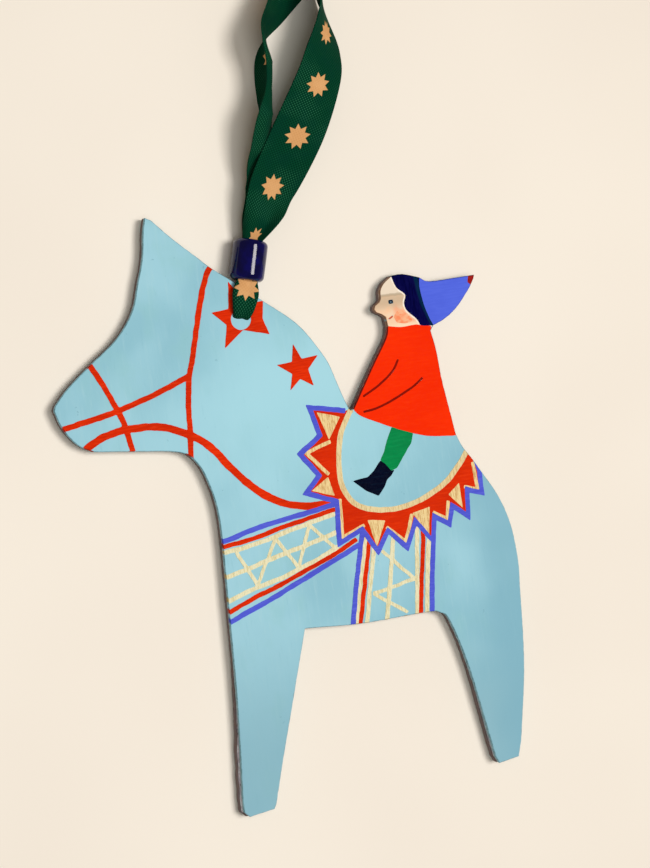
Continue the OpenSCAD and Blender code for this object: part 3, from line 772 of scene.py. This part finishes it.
def make_films():
    line_red = painted("red_line_paint", RED, rgb(176, 30, 4), rgb(238, 74, 28), 0.4, 0.5, 0.4)
    saddle_red = painted("saddle_red", rgb(226, 48, 4), rgb(196, 38, 4), rgb(238, 66, 14), 0.2, 0.5, 0.5)
    periwinkle = painted("periwinkle", rgb(88, 100, 226), rgb(70, 78, 204), rgb(112, 122, 236), 0.9, 0.5, 0.4)
    coat_red = painted("coat_red", rgb(255, 50, 0), rgb(244, 38, 0), rgb(255, 66, 8), 1.2, 0.35, 0.5)
    fold_red = painted("fold_red", rgb(152, 22, 6), rgb(110, 12, 4), None, 0.7, 0.6, 0.5)
    hat_blue = painted("hat_blue", rgb(86, 110, 240), rgb(76, 98, 228), rgb(98, 120, 244), 0.3, 0.4, 0.5)
    tip_red = painted("tip_red", rgb(168, 32, 26), rgb(120, 20, 20), None, 0.3, 0.6, 0.5)
    green = painted("trouser_green", rgb(2, 146, 78), rgb(10, 124, 70), rgb(24, 160, 92), 1.1, 0.5, 0.5)
    boot = painted("boot_black", rgb(2, 8, 36), rgb(0, 2, 16), rgb(6, 34, 54), 0.6, 0.5, 0.5, 0.5)
    gold_fill = gold_marker("gold_fill", rgb(244, 220, 160), rgb(198, 150, 88), 0.0, 0.12)
    gold_edge = gold_marker("gold_edge", rgb(236, 218, 168), rgb(204, 170, 112), 0.3, 0.9)
    gold_line = gold_marker("gold_line", rgb(240, 236, 200), rgb(214, 202, 148), 0.6, 0.9)

    film("bridle_paint", line_red, 0.09, 0.16)
    film("neck_stars_paint", line_red, 0.09, 0.08)
    film("saddle_red_paint", saddle_red, 0.07, 0.08, 0.02)
    film("saddle_gold_line", gold_edge, 0.085, 0.1)
    film("saddle_gold_paint", gold_fill, 0.085, 0.08)
    film("saddle_blue_outline", periwinkle, 0.095, 0.12)
    for band in ("breast_band", "girth"):
        film(band + "_blue", periwinkle, 0.095, 0.12)
        film(band + "_red", line_red, 0.07, 0.14)
        film(band + "_gold", gold_line, 0.08, 0.14)
    film("coat_paint", coat_red, 0.09, 0.07)
    film("coat_folds_paint", fold_red, 0.07, 0.04)
    film("hat_paint", hat_blue, 0.09, 0.06)
    film("hat_tip_paint", tip_red, 0.08, 0.04)
    film("hair_paint", hair_navy(), 0.095, 0.06)
    film("face_paint", skin_paint(), 0.08, 0.04)
    film("cheek_paint", cheek_blush(), 0.085, 0.04, 0.02)
    film("eye_and_mouth_paint", feature_ink(), 0.09, 0.02, rounding=7)
    film("trouser_paint", green, 0.08, 0.1)
    film("boot_paint", boot, 0.095, 0.08)
    bare = gesso()
    coat("hair_primer", "hair_paint", bare, 0.088, 0.06, 0.34, 4, margin=0.3)
    coat("coat_primer", "coat_paint", bare, 0.055, 0.07, 0.3, 2, margin=0.3)


# ---- Bead ----

def make_bead():
    """A turned bead with a slightly full barrel, soft ends and a plain bore."""
    low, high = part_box("bead")
    radius = (high.z - low.z) / MM / 2
    bore, length, corner, lip, fullness = 2.1, 8.8, 1.15, 0.45, 0.06
    profile = []
    half = length / 2
    for k in range(7):
        turn = math.pi / 2 * k / 6
        profile.append((bore + lip - lip * math.cos(turn), -half + lip - lip * math.sin(turn)))
    for k in range(11):
        turn = math.pi / 2 * k / 10
        profile.append((radius - corner + corner * math.sin(turn), -half + corner - corner * math.cos(turn)))
    for k in range(1, 8):
        y = -half + corner + (length - 2 * corner) * k / 8
        profile.append((radius, y))
    profile += [(r, -y) for r, y in reversed(profile[:18])]
    profile = [(r - fullness * (y / half) ** 2 if r > bore + lip else r, y) for r, y in profile]
    sides, rings = 96, len(profile)
    vertices = []
    for k in range(sides):
        turn = 2 * math.pi * k / sides
        for r, y in profile:
            spot = ACROSS * (r * math.cos(turn)) + ALONG * y
            vertices.append((BEAD_CENTRE.x + spot.x, BEAD_CENTRE.y + spot.y,
                             BEAD_CENTRE.z + r * math.sin(turn)))
    faces = []
    for k in range(sides):
        for i in range(rings):
            j = (i + 1) % rings
            after = (k + 1) % sides
            faces.append((k * rings + i, k * rings + j, after * rings + j, after * rings + i))
    bead = new_piece("glazed_bead", vertices, faces, [glazed()])
    bead.data.shade_smooth()
    bmesh_normals_out(bead)
    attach(bead, "bead")
    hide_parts("bead")
    return bead


def bmesh_normals_out(piece):
    shape = bmesh.new()
    shape.from_mesh(piece.data)
    bmesh.ops.recalc_face_normals(shape, faces=shape.faces)
    shape.to_mesh(piece.data)
    shape.free()


# ---- Ribbon ----

# How the ribbon's width is folded at a station: the cloth's slope, in degrees, at each of 13 places
# across it, from its left edge to its right one. Over 90 degrees it doubles back under itself.
FOLDS = {
    "flat": [9, 8, 6, 4, 2, 1, 0, -1, -2, -4, -6, -8, -9],
    "lipped": [-2, -2, -1, 0, 0, 1, 2, 5, 10, 18, 26, 30, 32],
    "cupped": [-9, -8, -6, -4, -2, -1, 0, 1, 2, 4, 6, 8, 9],
    "bowed": [62, 52, 38, 20, 4, -8, -16, -22, -28, -34, -40, -46, -52],
    "creased": [64, 60, 36, 10, 2, -4, -10, -22, 34, 56, 60, 60, 58],
    "tucked": [176, 176, 170, 92, 16, -6, -20, 18, 4, -88, -170, -176, -176],
    "packed": [78, 78, -78, -78, 78, 78, -78, -78, 78, 78, -78, -78, 78],
}

BEAD_LOW = (BEAD_CENTRE.xy - HOLE).dot(ALONG) - 4.4
BEAD_HIGH = BEAD_LOW + 8.8
BORE_Z = BEAD_CENTRE.z


def gathered(fold, y, z, half=1.6, height=0.8):
    return fold, height, (-half, y, z), (half, y, z)


# Fold, height of the folds, left edge and right edge at each station, from the hole up the front
# strand, round the loop and down the back strand. X is across the loop, Y along it, from the hole.
LOOP = [
    gathered("tucked", 0.7, 1.9, 1.5, 0.4),
    ("tucked", 0.5, (-1.75, 0.9, 3.5), (1.75, 0.9, 3.5)),
    ("tucked", 0.7, (-2.3, 2.5, 4.2), (2.3, 2.5, 4.2)),
    ("tucked", 0.8, (-2.75, 5.5, 4.25), (2.75, 5.5, 4.25)),
    gathered("tucked", BEAD_LOW - 0.3, BORE_Z + 0.3, 2.2, 0.8),
    gathered("packed", BEAD_LOW + 2, BORE_Z + 0.1),
    gathered("packed", BEAD_HIGH - 2, BORE_Z + 0.1),
    gathered("creased", BEAD_HIGH + 0.1, BORE_Z + 0.3, 1.9, 0.35),
    ("creased", 0.6, (-2.5, 21.5, 5.0), (4.4, 21.5, 4.6)),
    ("lipped", 0.6, (-2.5, 30, 7.2), (7.7, 28, 3.6)),
    ("flat", 1, (0.5, 41.5, 8.1), (12.3, 40, 6.2)),
    ("flat", 1, (3.9, 53.5, 10), (14.9, 53.5, 5.8)),
    ("flat", 1, (4.9, 59, 11.3), (14.4, 60.5, 4.5)),
    ("flat", 1, (6.2, 65, 12), (12.3, 66.5, 1.9)),
    ("flat", 1, (6.4, 70, 12.2), (9.2, 71.5, 0.7)),
    ("flat", 1, (5, 74, 11.9), (8.4, 74.5, 0.4)),
    ("flat", 1, (1.8, 76.2, 11), (7.6, 74.8, 0.4)),
    ("flat", 1, (-2.4, 74, 9.4), (5.4, 71.5, 0.4)),
    ("flat", 1, (-4.9, 66.5, 10.6), (1.5, 65.5, 0.4)),
    ("bowed", -0.25, (-5.7, 59.5, 11.8), (-2.1, 60.5, 0.4)),
    ("bowed", -0.75, (-4.4, 54.5, 10.2), (-3.3, 56, 0.4)),
    ("bowed", -0.7, (-3.6, 49, 9.8), (-2.3, 50, 0.4)),
    ("bowed", -1, (-4.9, 43, 10), (-0.2, 44, 0.6)),
    ("bowed", -0.4, (-4.1, 35.5, 7.6), (4.4, 37, 0.8)),
    ("cupped", 1, (-2.7, 28, 4.8), (8, 29.5, 1.5)),
    ("creased", 0.4, (-2.4, 21.5, 3.4), (4.2, 21.6, 2.4)),
    gathered("packed", BEAD_HIGH + 0.1, 3.1, 1.6, 0.6),
    gathered("packed", BEAD_HIGH - 2, BORE_Z - 0.1),
    gathered("packed", BEAD_LOW + 2, BORE_Z - 0.1),
    gathered("packed", BEAD_LOW + 0.2, 3.0, 1.6, 0.5),
    ("tucked", 0.4, (-0.8, 7.9, 2), (2.4, 7.2, 2)),
    ("tucked", 0.3, (-0.6, 7.7, 0.9), (2.8, 6.9, 0.9)),
    ("tucked", 0.3, (-0.6, 7.4, 0.35), (2.8, 6.6, 0.35)),
    ("tucked", 0.3, (-0.8, 6.4, 0.3), (2.9, 5.4, 0.3)),
    ("tucked", 0.3, (-1.5, 3, 0.3), (1.7, 2.8, 0.3)),
    ("tucked", 0.3, (-1.3, 1.5, 0.3), (1.3, 1.5, 0.3)),
    gathered("tucked", 0.6, 0.9, 1.3, 0.4),
]
FRONT_IN_BEAD, BACK_IN_BEAD = 5.5, 27.5
FAR_END = 13.2, 18
RING_STEP = 1 / 12
THREADS = 40


def between(a, b, c, d, t):
    """Catmull-Rom: the point at t between b and c."""
    return 0.5 * (2 * b + (c - a) * t + (2 * a - 5 * b + 4 * c - d) * t * t
                  + (3 * b - a - 3 * c + d) * t * t * t)


def loop_edge(place_in_loop, side):
    k = math.floor(place_in_loop)
    spots = [Vector(LOOP[(k + i) % len(LOOP)][side]) for i in (-1, 0, 1, 2)]
    return between(*spots, place_in_loop - k)


def fold_slope(place_in_loop, s):
    """The cloth's slope, in radians, at s millimetres from its left edge."""
    k, knot = math.floor(place_in_loop), min(int(s), 11)
    share, ahead = s - knot, place_in_loop - k
    here, there = (FOLDS[LOOP[(k + i) % len(LOOP)][0]] for i in (0, 1))
    ahead = ahead * ahead * (3 - 2 * ahead)
    share = share * share * (3 - 2 * share)
    slopes = [fold[knot] * (1 - share) + fold[knot + 1] * share for fold in (here, there)]
    return math.radians(slopes[0] * (1 - ahead) + slopes[1] * ahead)


def ribbon_ring(place_in_loop):
    """Points across the ribbon at one place along it, from its left edge to its right one."""
    left, right = loop_edge(place_in_loop, 2), loop_edge(place_in_loop, 3)
    before, after = (loop_edge(place_in_loop + d, 2) + loop_edge(place_in_loop + d, 3) for d in (-0.02, 0.02))
    outward = (right - left).cross(after - before).normalized()
    k, step = math.floor(place_in_loop), RIBBON_WIDTH / THREADS
    ahead = place_in_loop - k
    height = LOOP[k % len(LOOP)][1] * (1 - ahead) + LOOP[(k + 1) % len(LOOP)][1] * ahead
    x = rise = 0
    section = [(0, 0)]
    for i in range(THREADS):
        slope = fold_slope(place_in_loop, (i + 0.5) * step)
        x, rise = x + math.cos(slope) * step, rise + math.sin(slope) * step
        section.append((x, rise))
    first, last = min(p[0] for p in section), max(p[0] for p in section)
    lowest = min(p[1] for p in section)
    return [left.lerp(right, (x - first) / (last - first)) + outward * ((rise - lowest) * height - 0.1)
            for x, rise in section]


def lengths_along(path):
    """The distance from the start of a path to each of its points."""
    run = [0.0]
    for here, there in zip(path, path[1:]):
        run.append(run[-1] + (there - here).length)
    return run


def ribbon_piece(name, start, end, star_places):
    """A stretch of the ribbon between two places of the loop, as thick cloth with its own coordinates.
    A printed star is centred at each of the star places; the loop's far end takes up what is left over."""
    count = round((end - start) / RING_STEP)
    places = [start + (end - start) * i / count for i in range(count + 1)]
    rings = [ribbon_ring(p) for p in places]
    run = lengths_along([(r[0] + r[-1]) / 2 for r in rings])
    printed_run = lengths_along([r[0].lerp(r[-1], 0.8) for r in rings])
    star_runs = [printed_run[round((p - start) / (end - start) * count)] for p in star_places]
    left_over = (star_runs[0] - star_runs[-1]) % STAR_PITCH
    vertices, cloth = [], []
    for place_in_loop, ring, along in zip(places, rings, printed_run):
        along += left_over * min(1, max(0, (place_in_loop - FAR_END[0]) / (FAR_END[1] - FAR_END[0])))
        for i, spot in enumerate(ring):
            flat = HOLE + ACROSS * spot.x + ALONG * spot.y
            vertices.append((flat.x, flat.y, max(spot.z, RIBBON_THICK / 2 + 0.01)))
            cloth.append((RIBBON_WIDTH * i / THREADS * MM, (along - star_runs[0] + STAR_PITCH / 2) * MM))
    across = THREADS + 1
    faces = [(k * across + i, k * across + i + 1, (k + 1) * across + i + 1, (k + 1) * across + i)
             for k in range(count) for i in range(THREADS)]
    piece = new_piece(name, vertices, faces, [RIBBON_FACE, RIBBON_BACK])
    layer = piece.data.uv_layers.new(name="UVMap")
    for corner in piece.data.loops:
        layer.data[corner.index].uv = cloth[corner.vertex_index]
    thicken = piece.modifiers.new("cloth", "SOLIDIFY")
    thicken.thickness, thicken.offset = RIBBON_THICK * MM, 0
    thicken.material_offset = thicken.material_offset_rim = 1
    settled(piece)
    piece.data.shade_smooth()
    return piece


def make_ribbon():
    upper = ribbon_piece("ribbon_loop", FRONT_IN_BEAD, BACK_IN_BEAD, [8.97, 19.83])
    lower = ribbon_piece("ribbon_strands", BACK_IN_BEAD, FRONT_IN_BEAD + len(LOOP), [len(LOOP) + 3.5])
    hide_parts("ribbon")
    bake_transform(upper)
    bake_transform(lower)


# ---- Stage ----

def area_light(name, towards, distance, size, watts, tint, target):
    lamp = bpy.data.lights.new(name, "AREA")
    lamp.shape, lamp.size, lamp.size_y = "RECTANGLE", size[0], size[1]
    lamp.energy, lamp.color = watts, tint
    light = bpy.data.objects.new(name, lamp)
    bpy.context.scene.collection.objects.link(light)
    light.location = target + towards.normalized() * distance
    light.rotation_mode = "QUATERNION"
    light.rotation_quaternion = towards.to_track_quat("Z", "Y")
    return light


def make_stage():
    floor_z = cad_box[0].z / MM - 0.01
    reach = 1500
    floor = new_piece("table", [(x * reach, y * reach, floor_z) for x, y in ((-1, -1), (1, -1), (1, 1), (-1, 1))],
                      [(0, 1, 2, 3)], [paper_table()])
    target = Vector((8.6, -10.7, 0)) * MM
    up = Vector((0, 0, 1))
    key_side = PICTURE_RIGHT * 0.97 + PICTURE_UP * 0.24
    key_lean = math.radians(21)
    area_light("key", key_side * math.sin(key_lean) + up * math.cos(key_lean), 2.0,
               (0.66, 0.66), 26.0, (1, 0.955, 0.905), target)
    left_of_middle = target - PICTURE_RIGHT * 50 * MM - PICTURE_UP * 25 * MM
    pool = area_light("pool", up, 0.42, (0.2, 0.2), 0.4, (0.97, 1, 1), left_of_middle)
    pool.visible_glossy = False
    pool.visible_camera = False
    world = bpy.data.worlds.new("room")
    bpy.context.scene.world = world
    world.use_nodes = True
    world.node_tree.nodes["Background"].inputs["Color"].default_value = (1, 0.82, 0.66, 1)
    world.node_tree.nodes["Background"].inputs["Strength"].default_value = 0.2
    bpy.context.scene.view_settings.view_transform = "Standard"


make_board()
make_films()
make_bead()
RIBBON_FACE, RIBBON_BACK = woven("ribbon_face", True), woven("ribbon_back", False)
make_ribbon()
make_stage()
